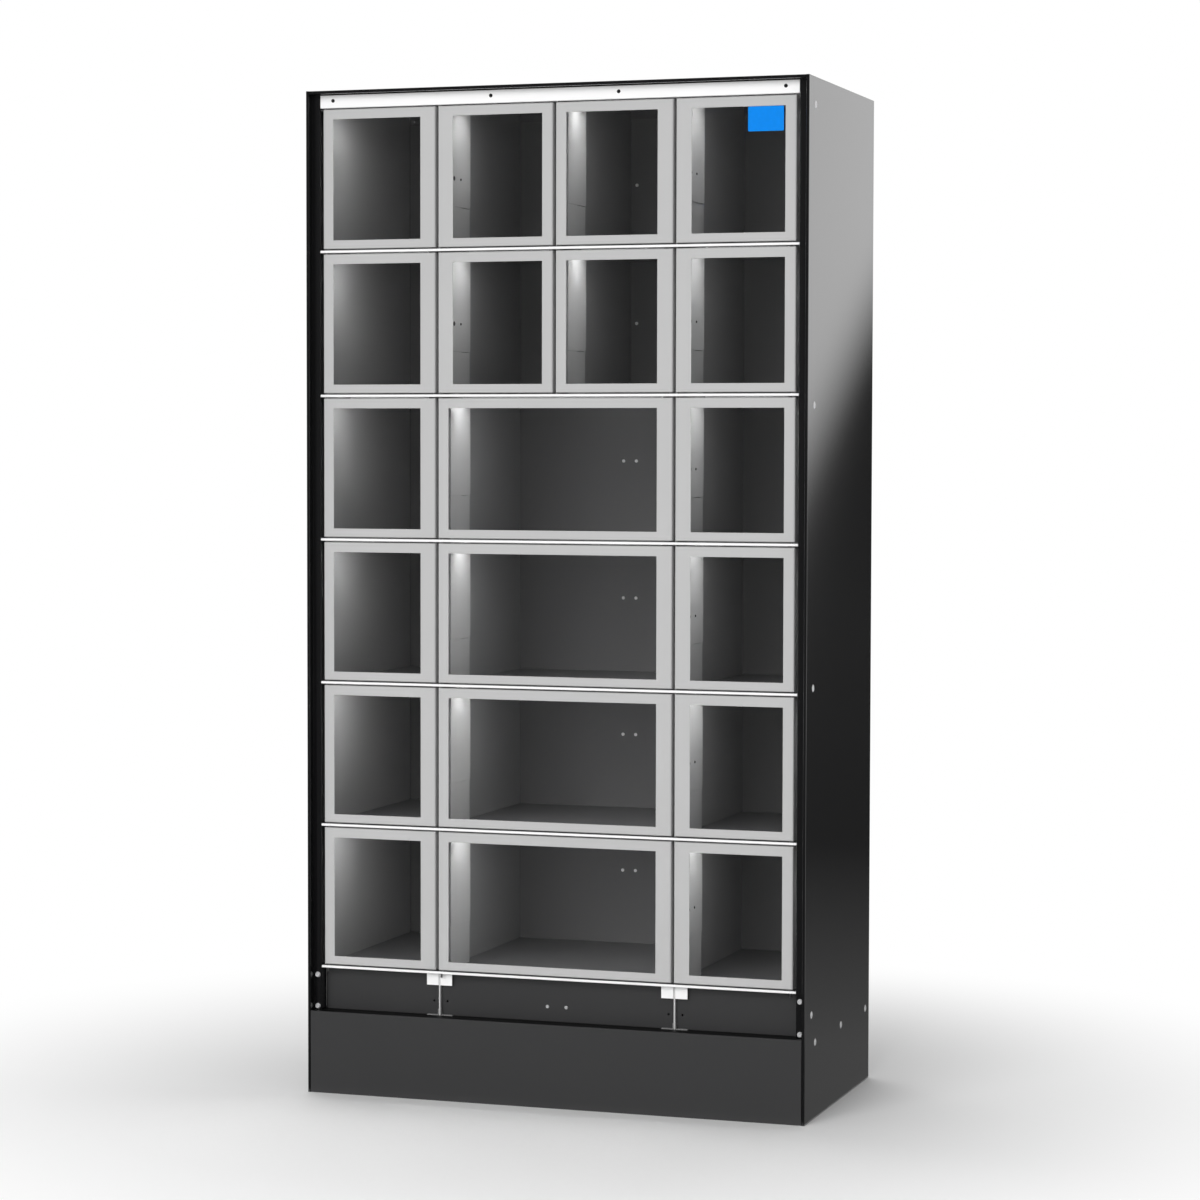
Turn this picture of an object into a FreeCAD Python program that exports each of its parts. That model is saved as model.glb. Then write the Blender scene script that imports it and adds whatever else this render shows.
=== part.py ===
import FreeCAD, Part
import math
import os

# Locker cabinet: a folded steel shell with twenty cells, each behind a hinged door with a clear pane.
# Millimetres. X to the right, Y to the back, Z up. The origin is on the floor under the middle.

# Shell
cabinet_width = 1000.0
cabinet_depth = 500.0
cabinet_height = 1940.0
shell_sheet = 1.5
fold_radius = 0.5
lip_width = 6.0
front_recess = 18.0
rear_recess = 13.0
wall_depth = 22.0
jamb_return = 22.0
rear_flange_drop = 16.0

# Foot and head of the cabinet
plinth_height = 160.0
bay_height = 85.0
bay_recess = 40.0
bay_sheet = 1.2
bay_end_gap = 3.0
bay_hole_inset = 13.7
bay_hole_height = 27.0
bay_hole_radius = 2.2
kick_return = 20.0
ledge_spare = 1.5
tray_setback = 22.0
crown_height = 29.4
header_height = 24.4
header_end_gap = 1.0
header_flange_rise = 4.0
header_hole_radius = 2.5
header_hole_height = 14.0
header_hole_shares = (-0.945, -0.267, 0.267, 0.945)

# Cells
row_count = 6
split_rows = 2
column_count = 4
liner_sheet = 1.2
liner_flange = 17.0
liner_rear_flange = 14.0
back_sheet = 1.2

# Shelves, each with a folded front edge and tabs that enter the side walls
shelf_sheet = 1.5
shelf_edge = 5.0
shelf_edge_depth = 24.0
shelf_tab_width = 30.0
shelf_tab_reach = 3.0
shelf_tab_shares = (0.3, 0.78)
shelf_slot_share = 0.5

# Lamps under the fronts of the shelves
lamp_height = 6.0
lamp_depth = 12.0
lamp_setback = 36.0
lamp_end_gap = 10.0
lamp_bevel = 3.0

# Dividers, halved into the shelves
divider_sheet = 1.5
divider_recess = 14.0
divider_nose_width = 3.0
divider_nose_depth = 12.0
divider_leg_depth = 90.0
bracket_sheet = 1.2
bracket_width = 24.0
bracket_drop = 24.0
bracket_depth = 7.5
foot_rise = 12.0

# Folded covers over the locks and the wiring
channel_sheet = 1.2
channel_standoff = 18.0
channel_setback = 3.0
channel_depth = 105.0
channel_seam_height = 85.0
channel_seam_gap = 0.6
channel_lap = 1.0

# Doors
door_gap = 6.0
door_side_gap = 6.4
door_end_gap = 2.5
door_sheet = 1.2
door_depth = 24.0
door_edge_radius = 3.0
door_rear_lip = 10.0
hinge_margin = 21.0
lock_margin = 30.2
top_rail = 19.0
bottom_rail = 16.6
pane_thickness = 3.0
pane_overlap = 8.0

# Hinge pins
pin_radius = 2.0
pin_edge_inset = 5.0
pin_face_inset = 5.0
pin_reach = 10.0
collar_radius = 4.0
collar_gap = 0.3

# Strikes and locks
strike_sheet = 2.0
strike_height = 24.0
strike_inset = 6.0
strike_foot_gap = 0.8
strike_reach = 20.0
strike_eye_width = 7.0
strike_eye_height = 12.0
strike_eye_inset = 4.0
strike_room = 3.2
lock_width = 15.0
lock_depth = 60.0
lock_height = 72.0

# Bolts and screws
bolt_head_radius = 7.0
bolt_head_height = 3.0
bolt_shank_radius = 3.0
bolt_length = 9.0
bolt_drop = 16.0
liner_bolt_shares = (0.0225, 0.367, 0.663, 0.975)
tray_bolt_shares = (0.119, 0.542, 0.965)
flange_screw_radius = 5.5
flange_screw_height = 3.0
flange_screw_low = 7.0
flange_screw_high = 68.5
bay_screw_radius = 3.5
bay_screw_height = 2.5
bay_screw_spacing = 38.0
bay_screw_rise = 28.0
screw_shank_radius = 2.0
screw_length = 7.0
head_flat_share = 0.62
head_edge_share = 0.45

# Power supply and lock controller
supply_size = (215.0, 115.0, 50.0)
controller_size = (260.0, 140.0, 45.0)
case_ear = 16.0
case_ear_height = 2.0
case_corner_radius = 4.0
case_spacing = 120.0

# Clearances
fit_gap = 0.3
run_gap = 0.05
overrun = 5.0

# Places worked out from the sizes above
half_width = cabinet_width / 2
front = -cabinet_depth / 2
rear = cabinet_depth / 2
skin_inside = half_width - shell_sheet
jamb_inside = half_width - lip_width
cell_half = half_width - wall_depth
door_front = front + front_recess
door_rear = door_front + door_depth
pin_y = door_front + pin_face_inset
nose_front = door_front + divider_recess
bay_front = front + bay_recess
shelf_edge_rear = door_front + shelf_edge_depth
lamp_front = shelf_edge_rear + lamp_setback
header_rear = lamp_front + lamp_depth
header_low = cabinet_height - crown_height - shelf_edge / 2
jamb_end = door_front + jamb_return
rear_flange_back = rear - rear_recess
cell_rear = rear_flange_back - fit_gap
slot_start = door_front + (cell_rear - door_front) * shelf_slot_share
channel_front = door_rear + channel_setback
channel_rear = channel_front + channel_depth
tray_front = front + tray_setback
tray_rear = rear_flange_back - shell_sheet - fit_gap
trim_top = cabinet_height - lip_width
first_level = plinth_height + bay_height
row_pitch = (cabinet_height - crown_height - first_level) / row_count
door_width = (2 * (cell_half - door_side_gap) - (column_count - 1) * door_gap) / column_count
door_height = row_pitch - shelf_edge - 2 * door_end_gap
column_pitch = door_width + door_gap
wide_width = column_pitch + door_width
wide_rows = row_count - split_rows
levels = [first_level + index * row_pitch for index in range(row_count + 1)]
left_line, centre_line, right_line = [(index - 1) * column_pitch for index in range(3)]
split_level = levels[wide_rows]

origin = FreeCAD.Vector(0, 0, 0)
to_right = FreeCAD.Vector(1, 0, 0)
to_back = FreeCAD.Vector(0, 1, 0)
upward = FreeCAD.Vector(0, 0, 1)


def block(x_span, y_span, z_span):
    """Rectangular solid between the low and the high value on each axis."""
    spans = [(min(span), max(span)) for span in (x_span, y_span, z_span)]
    corner = FreeCAD.Vector(*[low for low, high in spans])
    return Part.makeBox(*[high - low for low, high in spans], corner)


def drill(x, y, z, direction, radius, reach):
    """Round tool of the given radius that passes the point by reach on both sides."""
    centre = FreeCAD.Vector(x, y, z)
    return Part.makeCylinder(radius, 2 * reach, centre - direction * reach, direction)


def in_plan(point):
    """Section drawn in X and Y, for a sheet that runs upward."""
    return FreeCAD.Vector(point.x, point.y, 0)


def in_profile(point):
    """Section drawn in Y and Z, for a sheet that runs to the right."""
    return FreeCAD.Vector(0, point.x, point.y)


def in_elevation(point):
    """Section drawn in X and Z, for a sheet that runs to the back."""
    return FreeCAD.Vector(point.x, 0, point.y)


sheet_runs = {in_plan: upward, in_profile: to_right, in_elevation: to_back}


def sheet_side(path, offset, radius):
    """One face line of a folded sheet: a point at each end, and the fold's points at each corner."""
    starts = [(path[1] - path[0]).normalize(), (path[-1] - path[-2]).normalize()]
    ends = [[path[0] + upward.cross(starts[0]) * offset], [path[-1] + upward.cross(starts[1]) * offset]]
    folds = []
    for before, corner, after in zip(path, path[1:], path[2:]):
        arriving = (corner - before).normalize()
        leaving = (after - corner).normalize()
        left_in = upward.cross(arriving)
        left_out = upward.cross(leaving)
        if not radius:
            folds.append([corner + (left_in + left_out) * (offset / (1 + left_in.dot(left_out)))])
            continue
        turn = math.copysign(1, arriving.cross(leaving).z)
        reach = radius * math.tan(arriving.getAngle(leaving) / 2)
        centre = corner - arriving * reach + left_in * (radius * turn)
        middle = centre + (corner - centre).normalize() * (radius - offset * turn)
        first = corner - arriving * reach + left_in * offset
        last = corner + leaving * reach + left_out * offset
        folds.append([first, middle, last])
    return [ends[0]] + folds + [ends[1]]


def closed_face(stations, place):
    """Face inside a closed outline of straight runs and of arcs through three points."""
    edges = []
    for station, following in zip(stations, stations[1:] + stations[:1]):
        if len(station) > 1:
            edges.append(Part.Arc(*[place(point) for point in station]).toShape())
        edges.append(Part.LineSegment(place(station[-1]), place(following[0])).toShape())
    return Part.Face(Part.Wire(edges))


def folded_sheet(corners, sheet, inside_radius, place, span):
    """Folded sheet whose middle line passes through the corners, from span's low to its high value."""
    path = [FreeCAD.Vector(across, along, 0) for across, along in corners]
    radius = inside_radius + sheet / 2 if inside_radius else 0
    left = sheet_side(path, sheet / 2, radius)
    right = [station[::-1] for station in sheet_side(path, -sheet / 2, radius)[::-1]]
    section = closed_face(left + right, place)
    run = sheet_runs[place]
    section.translate(run * span[0])
    return section.extrude(run * (span[1] - span[0]))


def turned(profile, place, direction):
    """Solid turned from a profile of radius and height pairs, set at a point along a direction."""
    points = [FreeCAD.Vector(radius, 0, height) for radius, height in profile]
    shape = Part.Face(Part.makePolygon(points + points[:1])).revolve(origin, upward, 360)
    shape.Placement = FreeCAD.Placement(place, FreeCAD.Rotation(upward, direction))
    return shape


def save(node, solids):
    """Write the solids of one named piece."""
    Part.makeCompound(solids).exportStep(os.path.join("parts", node + ".step"))


def mirrored(shape):
    """The same piece on the other side of the cabinet."""
    return shape.mirror(origin, to_right)


def door_places():
    """Each door: name, left edge, width, row counted from the floor, and the side its hinge is on."""
    places = []
    for row in range(row_count):
        label = "r%d_" % (row_count - row)
        left_edge = -cell_half + door_side_gap
        for column in range(column_count):
            edge = left_edge + column * column_pitch
            hinge_side = 1 if column % 2 else -1
            outer = column in (0, column_count - 1)
            if outer or row >= wide_rows:
                places.append((label + "c%d" % (column + 1), edge, door_width, row, hinge_side))
            elif column == 1:
                places.append((label + "wide", edge, wide_width, row, -1))
    return places


def hinge_line(edge, width, hinge_side):
    """Place across the cabinet of a door's hinge pins."""
    return edge + pin_edge_inset if hinge_side < 0 else edge + width - pin_edge_inset


def lock_places():
    """Each lock: the divider it is fixed to, the side of that divider, its row, and the door's edge."""
    places = []
    for name, edge, width, row, hinge_side in door_places():
        lock_edge = edge + width if hinge_side < 0 else edge
        line = left_line if lock_edge < 0 else right_line
        places.append((line, hinge_side, row, lock_edge))
    return places


def liner_bolts():
    """Bolts through the side panel into the liner's flange: place along the depth, and height."""
    middle = jamb_end + fit_gap + liner_flange / 2
    rise = trim_top - plinth_height
    return [(middle, plinth_height + share * rise) for share in liner_bolt_shares]


def tray_bolts():
    """Bolts through the side panel into the wall of the base tray."""
    height = plinth_height - bolt_drop
    return [(tray_front + share * (tray_rear - tray_front), height) for share in tray_bolt_shares]


def flange_screws():
    """Screws in the front flanges beside the bay: place across the right flange, and height."""
    middle = (cell_half + jamb_inside) / 2
    return [(middle, plinth_height + rise) for rise in (flange_screw_low, flange_screw_high)]


def side_panel():
    """Right side panel: skin, hollow lips, jambs and flanges folded from one sheet."""
    half = shell_sheet / 2
    flange_line = cell_half + half
    jamb_line = jamb_inside + half
    skin_line = half_width - half
    corners = [
        (flange_line, jamb_end),
        (flange_line, door_front + half),
        (jamb_line, door_front + half),
        (jamb_line, front + half),
        (skin_line, front + half),
        (skin_line, rear - half),
        (jamb_line, rear - half),
        (jamb_line, rear_flange_back - half),
        (flange_line, rear_flange_back - half),
    ]
    panel = folded_sheet(corners, shell_sheet, fold_radius, in_plan, (0, cabinet_height))
    flange_x = (cell_half - overrun, jamb_inside)
    whole_y = (front - overrun, rear + overrun)
    head_trim = block(flange_x, whole_y, (trim_top - fit_gap, cabinet_height + overrun))
    front_y = (front - overrun, jamb_end + overrun)
    foot_trim = block(flange_x, front_y, (-overrun, plinth_height + fit_gap))
    holes = [
        drill(skin_line, y, z, to_right, bolt_shank_radius + fit_gap, overrun / 2)
        for y, z in liner_bolts() + tray_bolts()
    ]
    holes += [
        drill(x, door_front, z, to_back, screw_shank_radius + fit_gap, overrun)
        for x, z in flange_screws()
    ]
    return panel.cut([head_trim, foot_trim] + holes)


def top_panel():
    """Top panel: roof, hollow lips and flanges, notched round the lips of the side panels."""
    half = shell_sheet / 2
    lip_line = trim_top + half
    flange_y = door_front + shell_sheet + half
    corners = [
        (flange_y, levels[-1] + header_flange_rise),
        (flange_y, lip_line),
        (front + half, lip_line),
        (front + half, cabinet_height - half),
        (rear - half, cabinet_height - half),
        (rear - half, lip_line),
        (rear_flange_back - half, lip_line),
        (rear_flange_back - half, trim_top - rear_flange_drop),
    ]
    reach = skin_inside - fit_gap
    panel = folded_sheet(corners, shell_sheet, fold_radius, in_profile, (-reach, reach))
    notches = []
    for side in (-1, 1):
        end = side * (half_width + overrun)
        flange_x = (side * (cell_half - fit_gap), end)
        notches.append(block(flange_x, (front - overrun, rear + overrun), (first_level, trim_top)))
        corner_x = (side * (jamb_inside - fit_gap), end)
        roof_z = (first_level, cabinet_height + overrun)
        notches.append(block(corner_x, (front - overrun, door_front + shell_sheet + fit_gap), roof_z))
        rear_y = (rear_flange_back - shell_sheet - fit_gap, rear + overrun)
        notches.append(block(corner_x, rear_y, roof_z))
    return panel.cut(notches)


def back_panel():
    """Back sheet on the rear flanges, set in behind the rear lips."""
    corner_gap = fold_radius + fit_gap
    reach = jamb_inside - corner_gap
    y_span = (rear_flange_back, rear_flange_back + back_sheet)
    return block((-reach, reach), y_span, (fit_gap, trim_top - corner_gap))


def base_tray():
    """Open tray that the cabinet stands on, between the side panels."""
    reach = skin_inside - fit_gap
    top = plinth_height - shell_sheet - fit_gap
    tray = block((-reach, reach), (tray_front, tray_rear), (0, top))
    inside_x = (shell_sheet - reach, reach - shell_sheet)
    inside_y = (tray_front + shell_sheet, tray_rear - shell_sheet)
    hollow = block(inside_x, inside_y, (shell_sheet, top + overrun))
    holes = [
        drill(side * reach, y, z, to_right, bolt_shank_radius + fit_gap, overrun)
        for side in (-1, 1)
        for y, z in tray_bolts()
    ]
    return tray.cut([hollow] + holes)


def kick_panel():
    """Kick panel with a ledge that carries the bay panels and a return along the floor."""
    half = shell_sheet / 2
    corners = [
        (front + kick_return, half),
        (front + half, half),
        (front + half, plinth_height - half),
        (bay_front + bay_sheet + ledge_spare, plinth_height - half),
    ]
    reach = jamb_inside - fit_gap
    return folded_sheet(corners, shell_sheet, fold_radius, in_profile, (-reach, reach))


def bay_panels():
    """Plates that close the bay, one on each side of the dividers and one between them."""
    beside_nose = divider_nose_width / 2 + fit_gap
    end = cell_half - bay_end_gap
    spans = [
        (-end, left_line - beside_nose),
        (left_line + beside_nose, right_line - beside_nose),
        (right_line + beside_nose, end),
    ]
    z_span = (plinth_height, first_level - shelf_edge / 2 - fit_gap)
    hole_z = plinth_height + bay_hole_height
    hole_lines = [line + side * bay_hole_inset for line in (left_line, right_line) for side in (-1, 1)]
    holes = [drill(x, bay_front, hole_z, to_back, bay_hole_radius, overrun) for x in hole_lines]
    screw_z = plinth_height + bay_screw_rise
    for side in (-1, 1):
        x = side * bay_screw_spacing / 2
        holes.append(drill(x, bay_front, screw_z, to_back, screw_shank_radius + fit_gap, overrun))
    y_span = (bay_front, bay_front + bay_sheet)
    return [block(span, y_span, z_span).cut(holes) for span in spans]


def header_strip():
    """Pale strip above the top row; its return carries the upper pins of that row."""
    half = shell_sheet / 2
    corners = [
        (door_front + half, header_low + header_height),
        (door_front + half, header_low + half),
        (header_rear, header_low + half),
    ]
    reach = cell_half - header_end_gap
    strip = folded_sheet(corners, shell_sheet, fold_radius, in_profile, (-reach, reach))
    hole_z = header_low + header_hole_height
    holes = [
        drill(share * reach, door_front, hole_z, to_back, header_hole_radius, overrun)
        for share in header_hole_shares
    ]
    return strip.cut(holes + pin_holes(row_count))


def tab_spans():
    """Stretches along the depth where a shelf's tabs enter the side walls."""
    middles = [door_front + share * (cell_rear - door_front) for share in shelf_tab_shares]
    return [(middle - shelf_tab_width / 2, middle + shelf_tab_width / 2) for middle in middles]


def side_liner():
    """Right inner wall of the cells, folded out to the side panel at the front."""
    half = liner_sheet / 2
    skin_line = skin_inside - fit_gap - half
    wall_line = cell_half + half
    web_line = jamb_end + fit_gap + half
    flange_y = rear_flange_back - shell_sheet - fit_gap - half
    corners = [
        (skin_line, web_line + liner_flange),
        (skin_line, web_line),
        (wall_line, web_line),
        (wall_line, flange_y),
        (wall_line + liner_rear_flange, flange_y),
    ]
    span = (plinth_height + fit_gap, trim_top - fit_gap)
    liner = folded_sheet(corners, liner_sheet, fold_radius, in_plan, span)
    wall_x = (cell_half - overrun, cell_half + overrun)
    cuts = []
    for level in levels[:row_count]:
        top = level + shelf_edge / 2
        for low, high in tab_spans():
            z_span = (top - shelf_sheet - fit_gap, top + fit_gap)
            cuts.append(block(wall_x, (low - fit_gap, high + fit_gap), z_span))
    for y, z in liner_bolts():
        cuts.append(drill(skin_line, y, z, to_right, bolt_shank_radius + fit_gap, overrun))
    return liner.cut(cuts)


def hinge_lines(level):
    """Hinge lines at a shelf: place across, and whether a door turns above and below it there."""
    found = {}
    for name, edge, width, row, hinge_side in door_places():
        line = round(hinge_line(edge, width, hinge_side), 6)
        above, below = found.get(line, (False, False))
        if row in (level, level - 1):
            found[line] = (above or row == level, below or row == level - 1)
    return found


def pin_holes(level):
    """Tools for the holes that hold the hinge pins at a shelf or at the header strip."""
    return [
        drill(line, pin_y, levels[level], upward, pin_radius + run_gap, shelf_edge)
        for line in hinge_lines(level)
    ]


def shelf(level):
    """Shelf with a folded front edge, tabs at its ends, and slots that pass the dividers."""
    half = shelf_sheet / 2
    height = levels[level]
    top = height + shelf_edge / 2
    low = height - shelf_edge / 2
    corners = [
        (cell_rear, top - half),
        (door_front + half, top - half),
        (door_front + half, low + half),
        (shelf_edge_rear, low + half),
    ]
    reach = cell_half + liner_sheet + shelf_tab_reach
    sheet = folded_sheet(corners, shelf_sheet, fold_radius, in_profile, (-reach, reach))
    bounds = [door_front - overrun] + [end for span in tab_spans() for end in span] + [cell_rear + overrun]
    z_span = (low - overrun, top + overrun)
    cuts = pin_holes(level)
    for side in (-1, 1):
        x_span = (side * (cell_half - fit_gap), side * (reach + overrun))
        for start, end in zip(bounds[::2], bounds[1::2]):
            cuts.append(block(x_span, (start, end), z_span))
    lines = [left_line, right_line]
    if height > split_level:
        lines.append(centre_line)
    slot_half = divider_sheet / 2 + fit_gap
    for line in lines:
        y_span = (slot_start, cell_rear + overrun)
        cuts.append(block((line - slot_half, line + slot_half), y_span, z_span))
    return sheet.cut(cuts)


def divider(line, low):
    """Upright sheet with a hemmed front edge, notched from the front to take the shelves."""
    half_nose = divider_nose_width / 2
    half = divider_sheet / 2
    nose_rear = nose_front + divider_nose_depth
    nose_arc = [(half_nose, nose_front + half_nose), (0, nose_front), (-half_nose, nose_front + half_nose)]
    left_side = [(-half_nose, nose_rear), (-half, nose_rear), (-half, cell_rear)]
    right_side = [(-across, y) for across, y in left_side[::-1]]
    stations = [[FreeCAD.Vector(line + across, y, 0) for across, y in nose_arc]]
    stations += [[FreeCAD.Vector(line + across, y, 0)] for across, y in left_side + right_side]
    top = cabinet_height - shell_sheet - fit_gap
    section = closed_face(stations, in_plan)
    section.translate(upward * low)
    sheet = section.extrude(upward * (top - low))
    x_span = (line - overrun, line + overrun)
    edge_y = (nose_front - overrun, shelf_edge_rear + fit_gap)
    slot_y = (nose_front - overrun, slot_start + fit_gap)
    cuts = []
    for height in levels[:row_count]:
        shelf_top = height + shelf_edge / 2
        if height > low:
            edge_z = (height - shelf_edge / 2 - fit_gap, shelf_top + fit_gap)
            cuts.append(block(x_span, edge_y, edge_z))
            cuts.append(block(x_span, slot_y, (shelf_top - shelf_sheet - fit_gap, shelf_top + fit_gap)))
    header_y = (nose_front - overrun, header_rear + fit_gap)
    cuts.append(block(x_span, header_y, (header_low - fit_gap, header_low + shell_sheet + fit_gap)))
    flange_y = (rear_flange_back - shell_sheet - fit_gap, cell_rear + overrun)
    flange_z = (trim_top - rear_flange_drop - fit_gap, cabinet_height)
    cuts.append(block(x_span, flange_y, flange_z))
    if low < first_level:
        leg_y = (nose_front + divider_leg_depth, cell_rear + overrun)
        cuts.append(block(x_span, leg_y, (low - overrun, first_level - shelf_edge / 2)))
    return sheet.cut(cuts)


def cell_ceiling(row):
    """Underside of the shelf above a row behind its edge, or of the header strip's return."""
    if row + 1 < row_count:
        return levels[row + 1] + shelf_edge / 2 - shelf_sheet
    return header_low


def cell_lamps():
    """Lamp bars with a bevelled rear edge, one under the front of the shelf above each cell."""
    lamps = []
    for name, edge, width, row, hinge_side in door_places():
        top = cell_ceiling(row)
        low = top - lamp_height
        rear_edge = lamp_front + lamp_depth
        outline = [
            (lamp_front, top),
            (lamp_front, low),
            (rear_edge - lamp_bevel, low),
            (rear_edge, low + lamp_bevel),
            (rear_edge, top),
        ]
        start, end = [edge + across for across in window_spans(width, hinge_side)[0]]
        stations = [[FreeCAD.Vector(y, z, 0)] for y, z in outline]
        section = closed_face(stations, in_profile)
        section.translate(to_right * (start + lamp_end_gap))
        lamps.append(section.extrude(to_right * (end - start - 2 * lamp_end_gap)))
    return lamps


def divider_brackets():
    """Plates under the lowest shelf and feet on the ledge, on both sides of the long dividers."""
    half = bracket_sheet / 2
    under_shelf = first_level - shelf_edge / 2
    plate_corners = [
        (nose_front + half, under_shelf - bracket_drop),
        (nose_front + half, under_shelf - half),
        (nose_front + bracket_depth, under_shelf - half),
    ]
    near = divider_nose_width / 2 + fit_gap
    far = near + bracket_width
    pieces = []
    for line in (left_line, right_line):
        for side in (-1, 1):
            span = sorted((line + side * near, line + side * far))
            pieces.append(folded_sheet(plate_corners, bracket_sheet, fold_radius, in_profile, span))
            foot_corners = [
                (line + side * (near + half), plinth_height + foot_rise),
                (line + side * (near + half), plinth_height + half),
                (line + side * far, plinth_height + half),
            ]
            foot_y = (nose_front, nose_front + bracket_depth)
            pieces.append(folded_sheet(foot_corners, bracket_sheet, fold_radius, in_elevation, foot_y))
    return pieces


def strike_slot(lock_edge, hinge_side, row):
    """Room for a door's strike: its spans across the cabinet and in height."""
    tongue = lock_edge + hinge_side * strike_inset
    near = tongue + hinge_side * (strike_sheet / 2 + fit_gap)
    far = tongue - hinge_side * (strike_sheet / 2 + strike_room)
    middle = levels[row] + row_pitch / 2
    reach = strike_height / 2 + strike_sheet
    return (near, far), (middle - reach, middle + reach)


def lock_channels():
    """Folded covers on the dividers: in each cell a lower one, and an upper one over the lock."""
    slots = {(line, side, row): (edge, side, row) for line, side, row, edge in lock_places()}
    half = channel_sheet / 2
    covers = []
    for line, first_row in ((left_line, 0), (centre_line, wide_rows), (right_line, 0)):
        for side in (-1, 1):
            face = line + side * (divider_sheet / 2 + fit_gap)
            for row in range(first_row, row_count):
                low = levels[row] + shelf_edge / 2 + fit_gap
                seam = levels[row] + channel_seam_height
                high = cell_ceiling(row) - fit_gap
                for lap, span in ((channel_lap, (low, seam)), (0, (seam + channel_seam_gap, high))):
                    outer = line + side * (divider_sheet / 2 + channel_standoff - lap - half)
                    corners = [
                        (face, channel_front + lap + half),
                        (outer, channel_front + lap + half),
                        (outer, channel_rear - lap - half),
                        (face, channel_rear - lap - half),
                    ]
                    cover = folded_sheet(corners, channel_sheet, 0, in_plan, span)
                    if not lap and (line, side, row) in slots:
                        x_span, z_span = strike_slot(*slots[(line, side, row)])
                        y_span = (channel_front - overrun, channel_front + overrun)
                        cover = cover.cut(block(x_span, y_span, z_span))
                    covers.append(cover)
    return covers


def door_locks():
    """Closed lock housings on the dividers, each with a mouth for a door's strike."""
    locks = []
    for line, hinge_side, row, lock_edge in lock_places():
        face = line + hinge_side * (divider_sheet / 2 + fit_gap)
        y_low = channel_front + channel_sheet + fit_gap
        middle = levels[row] + row_pitch / 2
        z_span = (middle - lock_height / 2, middle + lock_height / 2)
        body = block((face, face + hinge_side * lock_width), (y_low, y_low + lock_depth), z_span)
        mouth_x, mouth_z = strike_slot(lock_edge, hinge_side, row)
        mouth_y = (y_low - overrun, door_rear + strike_reach + fit_gap)
        locks.append(body.cut(block(mouth_x, mouth_y, mouth_z)))
    return locks


def hinge_pins():
    """Pins through the shelf edges, each with a collar that the door above it runs on."""
    pins = []
    header_head_radius = pin_face_inset - shell_sheet - fold_radius - fit_gap
    for level in range(row_count + 1):
        on_shelf = level < row_count
        seat = shelf_edge / 2 if on_shelf else shell_sheet - shelf_edge / 2
        head_radius = collar_radius if on_shelf else header_head_radius
        for line, (above, below) in hinge_lines(level).items():
            collar = seat + door_end_gap - collar_gap
            high = pin_reach if above else collar
            low = -pin_reach if below or not level else -shelf_edge / 2
            profile = [
                (0, low),
                (pin_radius, low),
                (pin_radius, seat),
                (head_radius, seat),
                (head_radius, collar),
            ]
            if above:
                profile += [(pin_radius, collar), (pin_radius, high)]
            profile.append((0, high))
            pins.append(turned(profile, FreeCAD.Vector(line, pin_y, levels[level]), upward))
    return pins


def door_shell(width, hinge_side):
    """Folded door frame round a window, open at the back inside a narrow lip."""
    outside = block((0, width), (0, door_depth), (0, door_height))
    edges = [edge for edge in outside.Edges if edge.BoundBox.YMax < door_sheet]
    outside = outside.makeFillet(door_edge_radius, edges)
    inner = door_sheet
    cavity = block((inner, width - inner), (inner, door_depth - inner), (inner, door_height - inner))
    edges = [edge for edge in cavity.Edges if edge.BoundBox.YMax < door_depth / 2]
    cavity = cavity.makeFillet(door_edge_radius - door_sheet, edges)
    lip = door_rear_lip
    back_y = (door_depth / 2, door_depth + overrun)
    opening = block((lip, width - lip), back_y, (lip, door_height - lip))
    window_x, window_z = window_spans(width, hinge_side)
    window = block(window_x, (-overrun, door_depth / 2), window_z)
    line = hinge_line(0, width, hinge_side)
    bore = drill(line, pin_face_inset, door_height / 2, upward, pin_radius + run_gap, door_height)
    return outside.cut([cavity, opening, window, bore])


def window_spans(width, hinge_side):
    """Window of a door: its spans across the door and in height."""
    margins = (hinge_margin, lock_margin) if hinge_side < 0 else (lock_margin, hinge_margin)
    return (margins[0], width - margins[1]), (bottom_rail, door_height - top_rail)


def strike(width, hinge_side):
    """Folded strike on the rear lip at the lock side, with an eye for the lock's bolt."""
    half = strike_sheet / 2
    lock_edge = width if hinge_side < 0 else 0
    foot = lock_edge + hinge_side * strike_foot_gap
    tongue = lock_edge + hinge_side * strike_inset
    tip = door_depth + strike_reach
    corners = [(foot, door_depth + half), (tongue, door_depth + half), (tongue, tip)]
    middle = door_height / 2
    span = (middle - strike_height / 2, middle + strike_height / 2)
    plate = folded_sheet(corners, strike_sheet, fold_radius, in_plan, span)
    eye_y = (tip - strike_eye_inset - strike_eye_width, tip - strike_eye_inset)
    eye_z = (middle - strike_eye_height / 2, middle + strike_eye_height / 2)
    return plate.cut(block((tongue - overrun, tongue + overrun), eye_y, eye_z))


def pane(width, hinge_side):
    """Clear pane bedded on the inside of the door's face, all round the window."""
    spans = [
        (low - pane_overlap, high + pane_overlap) for low, high in window_spans(width, hinge_side)
    ]
    return block(spans[0], (door_sheet, door_sheet + pane_thickness), spans[1])


def screw(place, direction, head_radius, head_height, shank_radius, length):
    """Screw with a bevelled head that stands on the sheet at a point."""
    profile = [
        (0, -length),
        (shank_radius, -length),
        (shank_radius, 0),
        (head_radius, 0),
        (head_radius, head_height * head_edge_share),
        (head_radius * head_flat_share, head_height),
        (0, head_height),
    ]
    return turned(profile, place, direction)


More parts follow.
